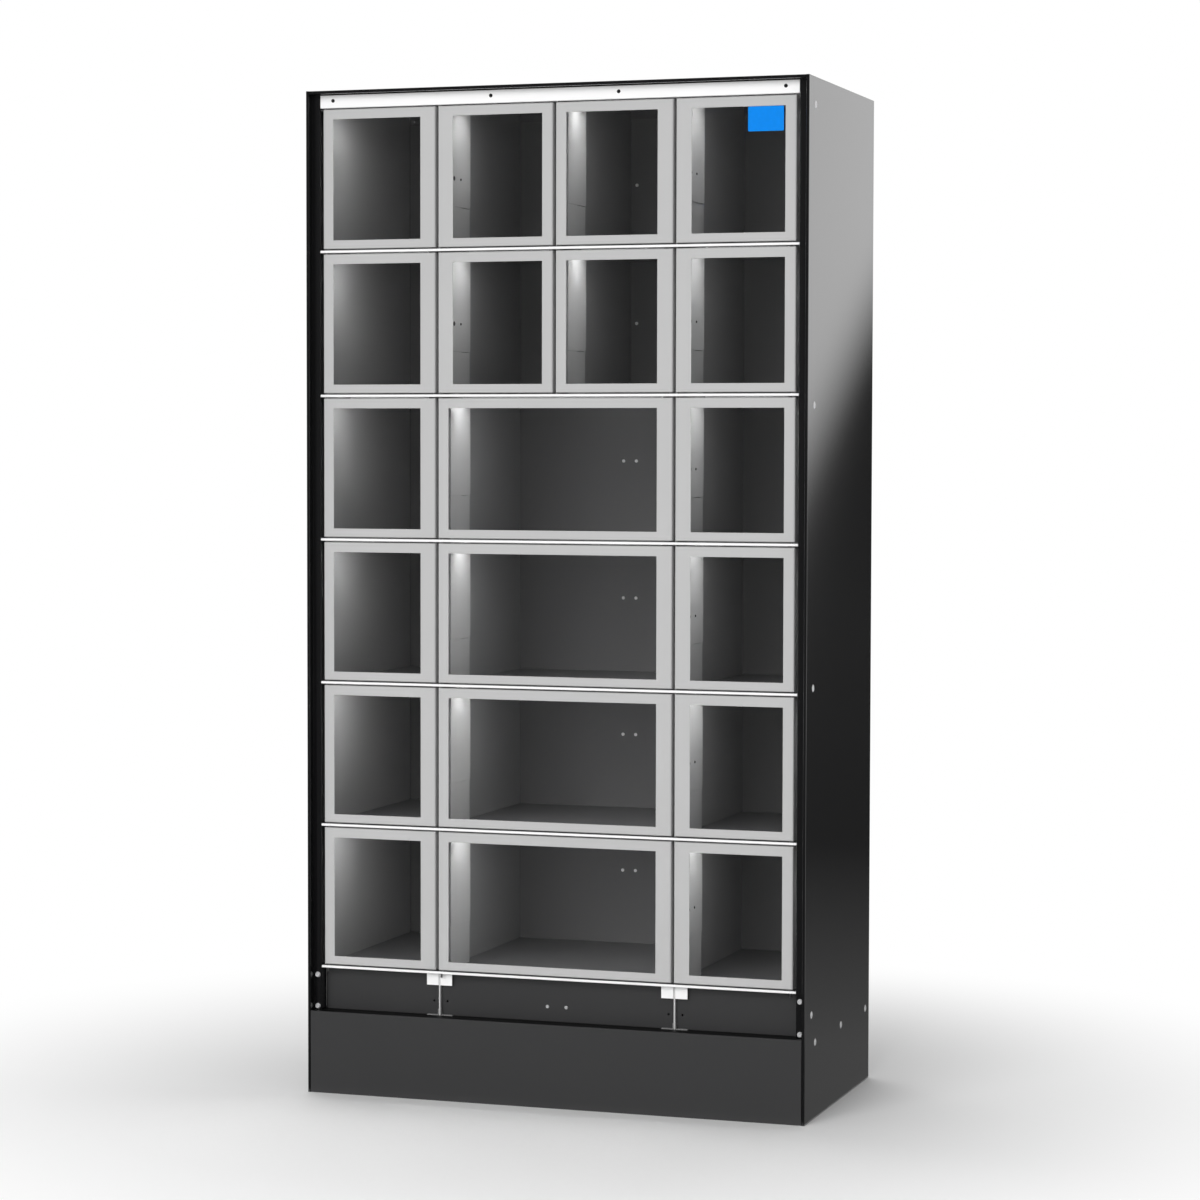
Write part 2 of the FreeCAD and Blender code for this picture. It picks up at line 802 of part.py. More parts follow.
def cabinet_screws():
    """Bolts in the side panels, screws in the front flanges and in the middle bay panel."""
    screws = []
    for side in (-1, 1):
        outward = to_right * side
        for y, z in liner_bolts() + tray_bolts():
            place = FreeCAD.Vector(side * half_width, y, z)
            size = (bolt_head_radius, bolt_head_height, bolt_shank_radius, bolt_length)
            screws.append(screw(place, outward, *size))
        for x, z in flange_screws():
            place = FreeCAD.Vector(side * x, door_front, z)
            size = (flange_screw_radius, flange_screw_height, screw_shank_radius, screw_length)
            screws.append(screw(place, -to_back, *size))
        x = side * bay_screw_spacing / 2
        place = FreeCAD.Vector(x, bay_front, plinth_height + bay_screw_rise)
        size = (bay_screw_radius, bay_screw_height, screw_shank_radius, screw_length)
        screws.append(screw(place, -to_back, *size))
    return screws


def electric_case(size, x_low):
    """Closed case on the floor of the tray, with a flat ear at each end."""
    width, depth, height = size
    y_low = -depth / 2
    floor = shell_sheet
    body = block((x_low, x_low + width), (y_low, y_low + depth), (floor, floor + height))
    uprights = [edge for edge in body.Edges if edge.BoundBox.ZLength > height / 2]
    body = body.makeFillet(case_corner_radius, uprights)
    ear_x = (x_low - case_ear, x_low + width + case_ear)
    ears = block(ear_x, (y_low + case_ear, y_low + depth - case_ear), (floor, floor + case_ear_height))
    return body.fuse(ears).removeSplitter()


def build():
    """Make every piece in its place and write it."""
    os.makedirs("parts", exist_ok=True)
    right_panel = side_panel()
    right_liner = side_liner()
    save("right_side_panel", [right_panel])
    save("left_side_panel", [mirrored(right_panel)])
    save("top_panel", [top_panel()])
    save("back_panel", [back_panel()])
    save("base_tray", [base_tray()])
    save("kick_panel", [kick_panel()])
    save("bay_panels", bay_panels())
    save("header_strip", [header_strip()])
    save("side_liners", [right_liner, mirrored(right_liner)])
    save("side_dividers", [divider(line, plinth_height) for line in (left_line, right_line)])
    save("centre_divider", [divider(centre_line, split_level + shelf_edge / 2)])
    save("divider_brackets", divider_brackets())
    save("shelves", [shelf(level) for level in range(row_count)])
    save("lock_channels", lock_channels())
    save("door_locks", door_locks())
    save("cell_lamps", cell_lamps())
    save("hinge_pins", hinge_pins())
    save("cabinet_screws", cabinet_screws())
    save("power_supply", [electric_case(supply_size, -case_spacing / 2 - supply_size[0])])
    save("lock_controller", [electric_case(controller_size, case_spacing / 2)])
    for name, edge, width, row, hinge_side in door_places():
        place = FreeCAD.Vector(edge, door_front, levels[row] + shelf_edge / 2 + door_end_gap)
        pieces = [door_shell(width, hinge_side), strike(width, hinge_side)]
        window = pane(width, hinge_side)
        for piece in pieces + [window]:
            piece.translate(place)
        save("door_" + name, pieces)
        save("pane_" + name, [window])


build()
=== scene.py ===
# %% [markdown]
# This lesson dresses a packed steel locker. The construction is already there: every sheet, door, pane
# and pin comes in as a node of the frame, in metres, where it belongs. Blender adds the finishes, the
# small screws that the construction leaves out, the light and the camera.

# %% Load the frame
import math

import bpy
from mathutils import Matrix, Vector


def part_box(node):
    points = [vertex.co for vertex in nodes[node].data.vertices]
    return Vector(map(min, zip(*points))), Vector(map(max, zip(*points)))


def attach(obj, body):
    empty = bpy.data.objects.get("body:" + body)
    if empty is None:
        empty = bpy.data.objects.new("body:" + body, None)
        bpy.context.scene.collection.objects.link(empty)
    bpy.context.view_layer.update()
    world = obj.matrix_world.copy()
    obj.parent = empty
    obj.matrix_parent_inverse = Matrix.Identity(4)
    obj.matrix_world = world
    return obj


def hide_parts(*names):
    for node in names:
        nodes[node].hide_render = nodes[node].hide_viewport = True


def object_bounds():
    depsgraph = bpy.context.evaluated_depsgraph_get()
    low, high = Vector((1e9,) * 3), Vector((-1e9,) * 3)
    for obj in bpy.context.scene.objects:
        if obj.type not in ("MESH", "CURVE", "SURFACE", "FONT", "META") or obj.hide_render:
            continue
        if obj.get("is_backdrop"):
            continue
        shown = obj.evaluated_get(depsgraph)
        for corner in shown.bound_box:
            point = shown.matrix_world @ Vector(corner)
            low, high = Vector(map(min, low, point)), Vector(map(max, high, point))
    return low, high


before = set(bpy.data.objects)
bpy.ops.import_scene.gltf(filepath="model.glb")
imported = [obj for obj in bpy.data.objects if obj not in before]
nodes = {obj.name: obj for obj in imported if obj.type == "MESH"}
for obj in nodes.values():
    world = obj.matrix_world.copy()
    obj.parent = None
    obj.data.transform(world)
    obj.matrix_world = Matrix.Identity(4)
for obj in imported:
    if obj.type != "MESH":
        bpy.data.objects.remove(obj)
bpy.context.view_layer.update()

# %% [markdown]
# The camera stands where the photograph was taken: a little above the middle of the locker, in front
# and to the right, with a long lens. Its place and turn were worked out from the corners of the shell. The
# image is square, so the sensor width alone gives the angle of view.

# %% Photograph's camera
image_pixels = 1200
focal_pixels = 3290.6
sensor_mm = 36.0
camera_place = Vector((2.0507, -6.1124, 1.2639))
camera_yaw = -0.32143
camera_pitch = -0.04741
camera_roll = 0.00202

forward = Vector((
    math.sin(camera_yaw) * math.cos(camera_pitch),
    math.cos(camera_yaw) * math.cos(camera_pitch),
    math.sin(camera_pitch),
))
level_right = Vector((math.cos(camera_yaw), -math.sin(camera_yaw), 0))
level_up = level_right.cross(forward)
camera_right = level_right * math.cos(camera_roll) + level_up * math.sin(camera_roll)
camera_up = level_up * math.cos(camera_roll) - level_right * math.sin(camera_roll)

lens = bpy.data.cameras.new("photo_camera")
lens.sensor_fit = "HORIZONTAL"
lens.sensor_width = sensor_mm
lens.lens = sensor_mm * focal_pixels / image_pixels
camera = bpy.data.objects.new("photo_camera", lens)
camera.matrix_world = (
    Matrix.Translation(camera_place)
    @ Matrix((camera_right, camera_up, -forward)).transposed().to_4x4()
)
bpy.context.scene.collection.objects.link(camera)
bpy.context.scene.camera = camera
print("lens mm:", round(lens.lens, 1))

# %% [markdown]
# A finish is a small graph of nodes, and so is each tree of Geometry Nodes further down. Three helpers
# keep the graphs short: one adds a node and sets its sockets, one joins two sockets, and one multiplies
# two numbers.

# %% Helpers for node graphs
def add(tree, kind, **settings):
    """New node; a setting named after a socket sets it, any other sets a property."""
    made = tree.nodes.new(kind)
    for key, value in settings.items():
        socket = made.inputs.get(key.replace("_", " "))
        if socket is not None:
            socket.default_value = value
        else:
            setattr(made, key, value)
    return made


def join(tree, source, target):
    """Link from an output socket to an input socket."""
    tree.links.new(source, target)


def times(tree, first, second):
    """Product of two numbers in a graph."""
    product = add(tree, "ShaderNodeMath", operation="MULTIPLY")
    join(tree, first, product.inputs[0])
    join(tree, second, product.inputs[1])
    return product.outputs["Value"]


print("graph helpers:", add.__name__, join.__name__, times.__name__)

# %% [markdown]
# Every finish below reads Object coordinates, so its grain has the same size in millimetres on each piece
# and stays put when a door swings. These helpers make what the finishes share: a noise, a range of gloss
# that follows it, a colour that drifts with it, and a relief.

# %% Helpers for finishes
noise_low = 0.3
noise_high = 0.7


def new_finish(name):
    """Empty material with its Principled shader and Object coordinates ready to use."""
    finish = bpy.data.materials.new(name)
    finish.use_nodes = True
    tree = finish.node_tree
    coords = add(tree, "ShaderNodeTexCoord")
    return finish, tree, tree.nodes["Principled BSDF"], coords.outputs["Object"]


def noise(tree, where, scale, detail=2.0):
    """Noise pattern of a given scale, in cells per metre."""
    pattern = add(tree, "ShaderNodeTexNoise", Scale=scale, Detail=detail)
    join(tree, where, pattern.inputs["Vector"])
    return pattern.outputs["Fac"]


def spread(tree, source, low, high):
    """A noise's usual values stretched between two numbers."""
    stretch = add(tree, "ShaderNodeMapRange", From_Min=noise_low, From_Max=noise_high)
    stretch.inputs["To Min"].default_value = low
    stretch.inputs["To Max"].default_value = high
    join(tree, source, stretch.inputs["Value"])
    return stretch.outputs["Result"]


def colour_mix(tree, factor):
    """Mix of two colours by a factor: the two sockets to fill, and the result."""
    mix = add(tree, "ShaderNodeMix", data_type="RGBA")
    join(tree, factor, mix.inputs["Factor"])
    first, second = [socket for socket in mix.inputs if socket.type == "RGBA"]
    result = [socket for socket in mix.outputs if socket.type == "RGBA"][0]
    return first, second, result


def tint(tree, source, colour, drift):
    """A colour that drifts a little darker and lighter with a pattern."""
    darker, lighter, result = colour_mix(tree, source)
    darker.default_value = [c * (1 - drift) for c in colour] + [1]
    lighter.default_value = [min(c * (1 + drift), 1) for c in colour] + [1]
    return result


def relief(tree, source, strength, depth):
    """Bump from a pattern, with its depth in metres."""
    bump = add(tree, "ShaderNodeBump", Strength=strength, Distance=depth)
    join(tree, source, bump.inputs["Height"])
    return bump.outputs["Normal"]


print("noise values used:", noise_low, "to", noise_high)

# %% [markdown]
# Almost all of this locker is coated sheet steel. A stoved powder coat is never mirror smooth: it has a
# fine orange peel, a faint cloudiness over a hand's width, and small changes of gloss. One function
# makes all the coats, because they differ only in colour, gloss and in how coarse the peel is.

# %% Powder coats
cloud_scale = 5.0
cloud_detail = 4.0
peel_depth = 0.0002
lacquer_roughness = 0.12
matt = (0.42, 0.56)
satin = (0.30, 0.42)
polished = (0.14, 0.22)
white_paint = (0.90, 0.90, 0.90)
charcoal_paint = (0.042, 0.042, 0.043)
charcoal_peel = 0.12
black_paint = (0.006, 0.006, 0.0065)
black_peel = 0.02
black_lacquer = 0.7


def stove(tree, shader, where, gloss, peel, lacquer):
    """Orange peel, changes of gloss and clear lacquer of a stoved coat."""
    peel_scale, peel_strength = peel
    grain = noise(tree, where, peel_scale)
    join(tree, spread(tree, grain, *gloss), shader.inputs["Roughness"])
    join(tree, relief(tree, grain, peel_strength, peel_depth), shader.inputs["Normal"])
    shader.inputs["Coat Weight"].default_value = lacquer
    shader.inputs["Coat Roughness"].default_value = lacquer_roughness


def powder_coat(name, colour, gloss, peel, drift=0.04, lacquer=0.0):
    """Coated steel: colour, lowest and highest roughness, and the peel's scale and strength."""
    finish, tree, shader, where = new_finish(name)
    cloud = noise(tree, where, cloud_scale, cloud_detail)
    join(tree, tint(tree, cloud, colour, drift), shader.inputs["Base Color"])
    stove(tree, shader, where, gloss, peel, lacquer)
    return finish


door_grey = powder_coat("door_grey", (0.475, 0.475, 0.475), (0.42, 0.55), (900.0, 0.10))
gloss_black = powder_coat("gloss_black", black_paint, polished, (420.0, black_peel), 0.15, black_lacquer)
charcoal = powder_coat("charcoal", charcoal_paint, matt, (1100.0, charcoal_peel), 0.06)
deep_grey = powder_coat("deep_grey", (0.050, 0.050, 0.052), (0.24, 0.36), (700.0, 0.06), 0.06)
back_grey = powder_coat("back_grey", (0.125, 0.125, 0.126), satin, (700.0, 0.06), 0.05)
edge_white = powder_coat("edge_white", white_paint, satin, (800.0, 0.05), 0.02)
cover_grey = powder_coat("cover_grey", (0.48, 0.48, 0.48), (0.34, 0.46), (800.0, 0.06), 0.03)
liner_grey = powder_coat("liner_grey", (0.40, 0.40, 0.40), satin, (800.0, 0.06), 0.04)
coats = (door_grey, gloss_black, charcoal, deep_grey, back_grey, edge_white, cover_grey, liner_grey)
print("coats:", [coat.name for coat in coats])

# %% [markdown]
# Some sheets carry two coats. The shelves are white on their folded front edge, which shows as a bright
# line between the rows, and dark grey behind it. The dividers have a pale front hem, the kick panel a
# black ledge, the brackets dull feet, and the top panel is grey inside. The kick panel's near-black ledge
# is painted shade: it stands for the shadow gap under the lowest doors. One finish can hold both coats,
# because each border lies at a known place: a colour ends where a coordinate passes it.

# %% Two coats on one sheet
sheet_peel_scale = 800.0
outer_drift = 0.03
inner_drift = 0.05


def two_coats(name, outer, inner, borders, gloss=satin, peel_strength=0.05, lacquer=0.0):
    """The inner colour where all borders are passed; a border is an axis, its outer and its inner end."""
    finish, tree, shader, where = new_finish(name)
    cloud = noise(tree, where, cloud_scale, cloud_detail)
    split = add(tree, "ShaderNodeSeparateXYZ")
    join(tree, where, split.inputs["Vector"])
    passed = None
    for axis, outer_end, inner_end in borders:
        step = add(tree, "ShaderNodeMapRange", From_Min=outer_end, From_Max=inner_end)
        join(tree, split.outputs[axis], step.inputs["Value"])
        beyond = step.outputs["Result"]
        passed = beyond if passed is None else times(tree, passed, beyond)
    outer_socket, inner_socket, both = colour_mix(tree, passed)
    join(tree, tint(tree, cloud, outer, outer_drift), outer_socket)
    join(tree, tint(tree, cloud, inner, inner_drift), inner_socket)
    join(tree, both, shader.inputs["Base Color"])
    stove(tree, shader, where, gloss, (sheet_peel_scale, peel_strength), lacquer)
    return finish


print("colours drift by:", outer_drift, inner_drift)

# %% [markdown]
# The borders come from the sheets themselves: so far behind a front edge, or at half the height of the
# brackets. The short blend between the coats keeps the border from looking stepped.

# %% Sheets with two coats
blend = 0.0004
edge_fold = 0.0022
hem_depth = 0.006
lip_depth = 0.040
shelf_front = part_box("shelves")[0].y + edge_fold
hem_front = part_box("side_dividers")[0].y + hem_depth
kick_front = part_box("kick_panel")[0].y + edge_fold
foot_top = sum(corner.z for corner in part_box("divider_brackets")) / 2
top_low, top_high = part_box("top_panel")
shelf_coats = two_coats(
    "shelf_coats",
    white_paint,
    (0.10, 0.10, 0.102),
    [("Y", shelf_front - blend, shelf_front + blend)],
)
divider_coats = two_coats(
    "divider_coats",
    (0.62, 0.62, 0.62),
    (0.26, 0.26, 0.262),
    [("Y", hem_front - blend, hem_front + blend)],
)
# Near-black ledge behind the charcoal front: painted shade for the shadow gap under the lowest doors.
kick_coat_and_painted_ledge_shade = two_coats(
    "kick_coat_and_painted_ledge_shade",
    charcoal_paint,
    (0.003, 0.003, 0.003),
    [("Y", kick_front - blend, kick_front + blend)],
    matt,
    charcoal_peel,
)
bracket_coats = two_coats(
    "bracket_coats",
    white_paint,
    (0.28, 0.28, 0.28),
    [("Z", foot_top + blend, foot_top - blend)],
)
top_coats = two_coats(
    "top_coats",
    black_paint,
    (0.13, 0.13, 0.132),
    [
        ("Z", top_high.z - blend, top_high.z - 2 * blend),
        ("Y", top_high.y - blend, top_high.y - 2 * blend),
        ("Y", top_low.y + lip_depth - blend, top_low.y + lip_depth + blend),
    ],
    polished,
    black_peel,
    black_lacquer,
)
print("shelf edge at:", round(shelf_front, 3), "feet up to:", round(foot_top, 3))

# %% [markdown]
# Bare metal shows on the bolts and on the hinge pins. Passivated zinc is pale and dull, with a soft grain
# and a patchy gloss, so it is only partly metallic. The small heads behind the cells are near-white and
# not
# metallic: that brightness is painted light for the bright spots there. Drawn steel is streaked along its
# length, so its noise is stretched in Z.

# %% Bare metals
streak_scale = 600.0
streak_detail = 3.0
even_grain = (1, 1, 1)
drawn_in_z = (1, 1, 0.05)
drawn_in_x = (0.05, 1, 1)


def bare_metal(name, colour, gloss, stretch, metallic=1.0):
    """Metal whose gloss follows a noise stretched along each axis."""
    finish, tree, shader, where = new_finish(name)
    mapping = add(tree, "ShaderNodeMapping", Scale=stretch)
    join(tree, where, mapping.inputs["Vector"])
    streak = noise(tree, mapping.outputs["Vector"], streak_scale, streak_detail)
    join(tree, tint(tree, streak, colour, drift=0.10), shader.inputs["Base Color"])
    join(tree, spread(tree, streak, *gloss), shader.inputs["Roughness"])
    join(tree, relief(tree, streak, strength=0.08, depth=0.0001), shader.inputs["Normal"])
    shader.inputs["Metallic"].default_value = metallic
    return finish


zinc = bare_metal("zinc", (0.78, 0.78, 0.79), (0.38, 0.55), even_grain, 0.35)
# Near-white, not metallic: painted light for the bright spots on the back sheet, not a zinc colour.
heads_painted_light = bare_metal("heads_painted_light", (0.96, 0.96, 0.96), (0.45, 0.60), even_grain, 0.0)
drawn_steel = bare_metal("drawn_steel", (0.58, 0.58, 0.58), (0.25, 0.40), drawn_in_z)
case_alloy = bare_metal("case_alloy", (0.66, 0.66, 0.67), (0.35, 0.55), drawn_in_x)
print("metals:", zinc.name, heads_painted_light.name, drawn_steel.name, case_alloy.name)

# %% [markdown]
# The panes are thin, flat and clear, so light goes straight through them: a see-through shader does that
# without bending it, and lets the lamps shine in and out. What is left is the small share that a polished
# face mirrors, which grows towards a grazing view. The ratio is turned over on the far face, or the sheet
# would act as a mirror from inside. A wide, faint noise gives the smears that a wiped pane keeps.

# %% Clear panes
pane_ratio = 1.45
pane_tint = (0.98, 0.98, 0.98, 1)
smear_scale = 9.0
smear_detail = 5.0


def mix_shaders(tree, share, first, second):
    """First shader where the share is nought, second where it is one, sent to the surface."""
    choose = add(tree, "ShaderNodeMixShader")
    join(tree, share, choose.inputs["Fac"])
    join(tree, first, choose.inputs[1])
    join(tree, second, choose.inputs[2])
    join(tree, choose.outputs["Shader"], tree.nodes["Material Output"].inputs["Surface"])


def clear_sheet(name):
    """Straight through, but for the share that a polished face mirrors."""
    finish, tree, shader, where = new_finish(name)
    smear = noise(tree, where, smear_scale, smear_detail)
    join(tree, spread(tree, smear, low=0.010, high=0.030), shader.inputs["Roughness"])
    join(tree, relief(tree, smear, strength=0.02, depth=0.0002), shader.inputs["Normal"])
    shader.inputs["Base Color"].default_value = (1, 1, 1, 1)
    shader.inputs["Metallic"].default_value = 1.0
    side = add(tree, "ShaderNodeNewGeometry")
    ratio = add(tree, "ShaderNodeMapRange", To_Min=pane_ratio, To_Max=1 / pane_ratio)
    join(tree, side.outputs["Backfacing"], ratio.inputs["Value"])
    mirrored = add(tree, "ShaderNodeFresnel")
    join(tree, ratio.outputs["Result"], mirrored.inputs["IOR"])
    through = add(tree, "ShaderNodeBsdfTransparent", Color=pane_tint)
    mix_shaders(tree, mirrored.outputs["Fac"], through.outputs["BSDF"], shader.outputs["BSDF"])
    return finish


pane_clear = clear_sheet("pane_clear")
print("panes:", len([n for n in nodes if n.startswith("pane_")]))

# %% [markdown]
# What is left is moulded: the matt plastic of the locks and the controller, the black of the small
# screws, and the frosted cover of the lamp in each cell. The lamps are what makes the tops of the lock
# covers glow in the photograph, so their finish gives off light. It does so only where a face looks
# down, because from outside no bar is seen shining.

# %% Plastics and lamp covers
moulding_scale = 1500.0
frost_scale = 300.0
frost_white = (0.85, 0.86, 0.86)
lamp_strength = 42.0
dark_slope = -0.5
lit_slope = -0.6


def moulded_plastic(name, colour, gloss):
    """Moulding with a fine spark-eroded grain."""
    finish, tree, shader, where = new_finish(name)
    grain = noise(tree, where, moulding_scale)
    join(tree, tint(tree, grain, colour, drift=0.12), shader.inputs["Base Color"])
    join(tree, spread(tree, grain, *gloss), shader.inputs["Roughness"])
    join(tree, relief(tree, grain, strength=0.15, depth=0.0001), shader.inputs["Normal"])
    return finish


def lamp_cover(name, strength):
    """Frosted cover that gives off light from its underside and its bevel, not towards the door."""
    finish, tree, shader, where = new_finish(name)
    frost = noise(tree, where, frost_scale)
    join(tree, tint(tree, frost, frost_white, drift=0.05), shader.inputs["Base Color"])
    join(tree, spread(tree, frost, low=0.5, high=0.7), shader.inputs["Roughness"])
    facing = add(tree, "ShaderNodeNewGeometry")
    split = add(tree, "ShaderNodeSeparateXYZ")
    join(tree, facing.outputs["True Normal"], split.inputs["Vector"])
    downward = add(tree, "ShaderNodeMapRange", From_Min=dark_slope, From_Max=lit_slope, To_Max=strength)
    join(tree, split.outputs["Z"], downward.inputs["Value"])
    join(tree, downward.outputs["Result"], shader.inputs["Emission Strength"])
    shader.inputs["Emission Color"].default_value = (1, 1, 1, 1)
    finish.cycles.emission_sampling = "FRONT"
    return finish


lock_black = moulded_plastic("lock_black", (0.030, 0.030, 0.032), (0.45, 0.6))
# Black of the header screws: painted shade for the dark header holes.
screw_black = moulded_plastic("screw_black", (0.004, 0.004, 0.004), (0.35, 0.50))
lamp_white = lamp_cover("lamp_white", lamp_strength)
print("plastics:", lock_black.name, screw_black.name, lamp_white.name)

# %% [markdown]
# Each node of the frame now gets its finish. The table goes by the node's name, with the doors and the
# panes taken by the start of theirs. Only the material slot changes: the mesh stays as it was packed.

# %% Finishes on the frame
finish_of = {
    "left_side_panel": gloss_black,
    "right_side_panel": gloss_black,
    "top_panel": top_coats,
    "back_panel": back_grey,
    "base_tray": deep_grey,
    "kick_panel": kick_coat_and_painted_ledge_shade,
    "bay_panels": charcoal,
    "header_strip": edge_white,
    "shelves": shelf_coats,
    "side_liners": liner_grey,
    "side_dividers": divider_coats,
    "centre_divider": divider_coats,
    "lock_channels": cover_grey,
    "divider_brackets": bracket_coats,
    "door_locks": lock_black,
    "lock_controller": lock_black,
    "power_supply": case_alloy,
    "cell_lamps": lamp_white,
    "hinge_pins": drawn_steel,
    "cabinet_screws": zinc,
}


def dress(node, finish):
    """Put one finish in all material slots of a node."""
    if not node.material_slots:
        node.data.materials.append(finish)
    for material_slot in node.material_slots:
        material_slot.material = finish


for name, node in nodes.items():
    if name.startswith("pane_"):
        dress(node, pane_clear)
    elif name.startswith("door_r"):
        dress(node, door_grey)
    else:
        dress(node, finish_of[name])
print("dressed:", len(nodes))

# %% [markdown]
# What repeats is made by Geometry Nodes, in two trees: one for screws and one for lamp bars. Both begin
# with named inputs and end alike. Realize Instances turns copies into real faces, and Set Material gives
# them their finish.

# %% Start and end of a tree
def new_tree(name, sizes):
    """Tree with a mesh, a number for each size and a finish going in, and a mesh coming out."""
    tree = bpy.data.node_groups.new(name, "GeometryNodeTree")
    sockets = tree.interface
    sockets.new_socket("Geometry", in_out="INPUT", socket_type="NodeSocketGeometry")
    for size in sizes:
        sockets.new_socket(size, in_out="INPUT", socket_type="NodeSocketFloat")
    sockets.new_socket("Finish", in_out="INPUT", socket_type="NodeSocketMaterial")
    sockets.new_socket("Geometry", in_out="OUTPUT", socket_type="NodeSocketGeometry")
    return tree, add(tree, "NodeGroupInput"), add(tree, "NodeGroupOutput")


def end_tree(tree, inside, outside, shape):
    """Real faces in the chosen finish."""
    real = add(tree, "GeometryNodeRealizeInstances")
    join(tree, shape, real.inputs["Geometry"])
    paint = add(tree, "GeometryNodeSetMaterial")
    join(tree, real.outputs["Geometry"], paint.inputs["Geometry"])
    join(tree, inside.outputs["Finish"], paint.inputs["Material"])
    join(tree, paint.outputs["Geometry"], outside.inputs["Geometry"])


def downwards(tree, length):
    """A length with its sign turned."""
    turned = add(tree, "ShaderNodeMath", operation="MULTIPLY")
    turned.inputs[1].default_value = -1.0
    join(tree, length, turned.inputs[0])
    return turned.outputs["Value"]


print("tree helpers:", new_tree.__name__, end_tree.__name__, downwards.__name__)

# %% [markdown]
# A screw is a low cone for the head, with a sunk socket, and a thin shank below it. The socket is the top
# face of the cone: drawn in, then pushed down. All sizes come in as inputs, so the same nodes make every
# screw of the cabinet.

# %% Head and shank of a screw
head_sides = 24
shank_sides = 12


def screw_head(tree, inside):
    """Cone with a flat top and a socket in it."""
    flat = times(tree, inside.outputs["Head Radius"], inside.outputs["Flat Share"])
    head = add(tree, "GeometryNodeMeshCone", Vertices=head_sides)
    join(tree, flat, head.inputs["Radius Top"])
    join(tree, inside.outputs["Head Radius"], head.inputs["Radius Bottom"])
    join(tree, inside.outputs["Head Height"], head.inputs["Depth"])
    rim = add(tree, "GeometryNodeExtrudeMesh", Offset_Scale=0.0)
    join(tree, head.outputs["Mesh"], rim.inputs["Mesh"])
    join(tree, head.outputs["Top"], rim.inputs["Selection"])
    shrink = add(tree, "GeometryNodeScaleElements")
    join(tree, rim.outputs["Mesh"], shrink.inputs["Geometry"])
    join(tree, rim.outputs["Top"], shrink.inputs["Selection"])
    join(tree, inside.outputs["Socket Share"], shrink.inputs["Scale"])
    socket = add(tree, "GeometryNodeExtrudeMesh")
    join(tree, shrink.outputs["Geometry"], socket.inputs["Mesh"])
    join(tree, rim.outputs["Top"], socket.inputs["Selection"])
    join(tree, downwards(tree, inside.outputs["Socket Depth"]), socket.inputs["Offset Scale"])
    return socket.outputs["Mesh"]


def screw_shank(tree, inside):
    """Thin cylinder that hangs below the head."""
    shank = add(tree, "GeometryNodeMeshCone", Vertices=shank_sides)
    for end in ("Radius Top", "Radius Bottom"):
        join(tree, inside.outputs["Shank Radius"], shank.inputs[end])
    join(tree, inside.outputs["Shank Length"], shank.inputs["Depth"])
    drop = add(tree, "ShaderNodeCombineXYZ")
    join(tree, downwards(tree, inside.outputs["Shank Length"]), drop.inputs["Z"])
    lowered = add(tree, "GeometryNodeTransform")
    join(tree, shank.outputs["Mesh"], lowered.inputs["Geometry"])
    join(tree, drop.outputs["Vector"], lowered.inputs["Translation"])
    return lowered.outputs["Geometry"]


print("sides of a head:", head_sides, "of a shank:", shank_sides)

# %% [markdown]
# The tree takes a mesh that is nothing but points, each with a direction in an attribute, and sets a copy
# of the screw on every point.

# %% Tree for screws
def screw_tree(name):
    """Screws on points."""
    head_sizes = ("Head Radius", "Head Height", "Flat Share", "Socket Share", "Socket Depth")
    tree, inside, outside = new_tree(name, head_sizes + ("Shank Radius", "Shank Length"))
    whole = add(tree, "GeometryNodeJoinGeometry")
    join(tree, screw_shank(tree, inside), whole.inputs["Geometry"])
    join(tree, screw_head(tree, inside), whole.inputs["Geometry"])
    facing = add(tree, "GeometryNodeInputNamedAttribute", data_type="FLOAT_VECTOR", Name="facing")
    turn = add(tree, "FunctionNodeAlignRotationToVector", axis="Z")
    join(tree, facing.outputs["Attribute"], turn.inputs["Vector"])
    points = add(tree, "GeometryNodeMeshToPoints")
    join(tree, inside.outputs["Geometry"], points.inputs["Mesh"])
    copies = add(tree, "GeometryNodeInstanceOnPoints")
    join(tree, points.outputs["Points"], copies.inputs["Points"])
    join(tree, whole.outputs["Geometry"], copies.inputs["Instance"])
    join(tree, turn.outputs["Rotation"], copies.inputs["Rotation"])
    end_tree(tree, inside, outside, copies.outputs["Instances"])
    return tree


heads = screw_tree("screw_heads")
print("tree nodes:", len(heads.nodes))

# %% [markdown]
# A tree needs an object to run on. This function makes one from a mesh of points or lines, sets the
# tree's inputs, runs it once, keeps the result as a plain mesh and takes the modifier away again. A row
# of screws is then no more than a list of places and directions.

# %% Screws from places
def grow(name, mesh, tree, values):
    """Object whose mesh is what a tree makes of a simpler mesh."""
    maker = bpy.data.objects.new(name, mesh)
    bpy.context.scene.collection.objects.link(maker)
    modifier = maker.modifiers.new(name, "NODES")
    modifier.node_group = tree
    for item in tree.interface.items_tree:
        if item.in_out == "INPUT" and item.name in values:
            modifier[item.identifier] = values[item.name]
    graph = bpy.context.evaluated_depsgraph_get()
    made = bpy.data.meshes.new_from_object(maker.evaluated_get(graph))
    maker.modifiers.remove(modifier)
    maker.data = made
    made.name = name
    print(name, "faces:", len(made.polygons))
    return maker


socket_depth_share = 0.6


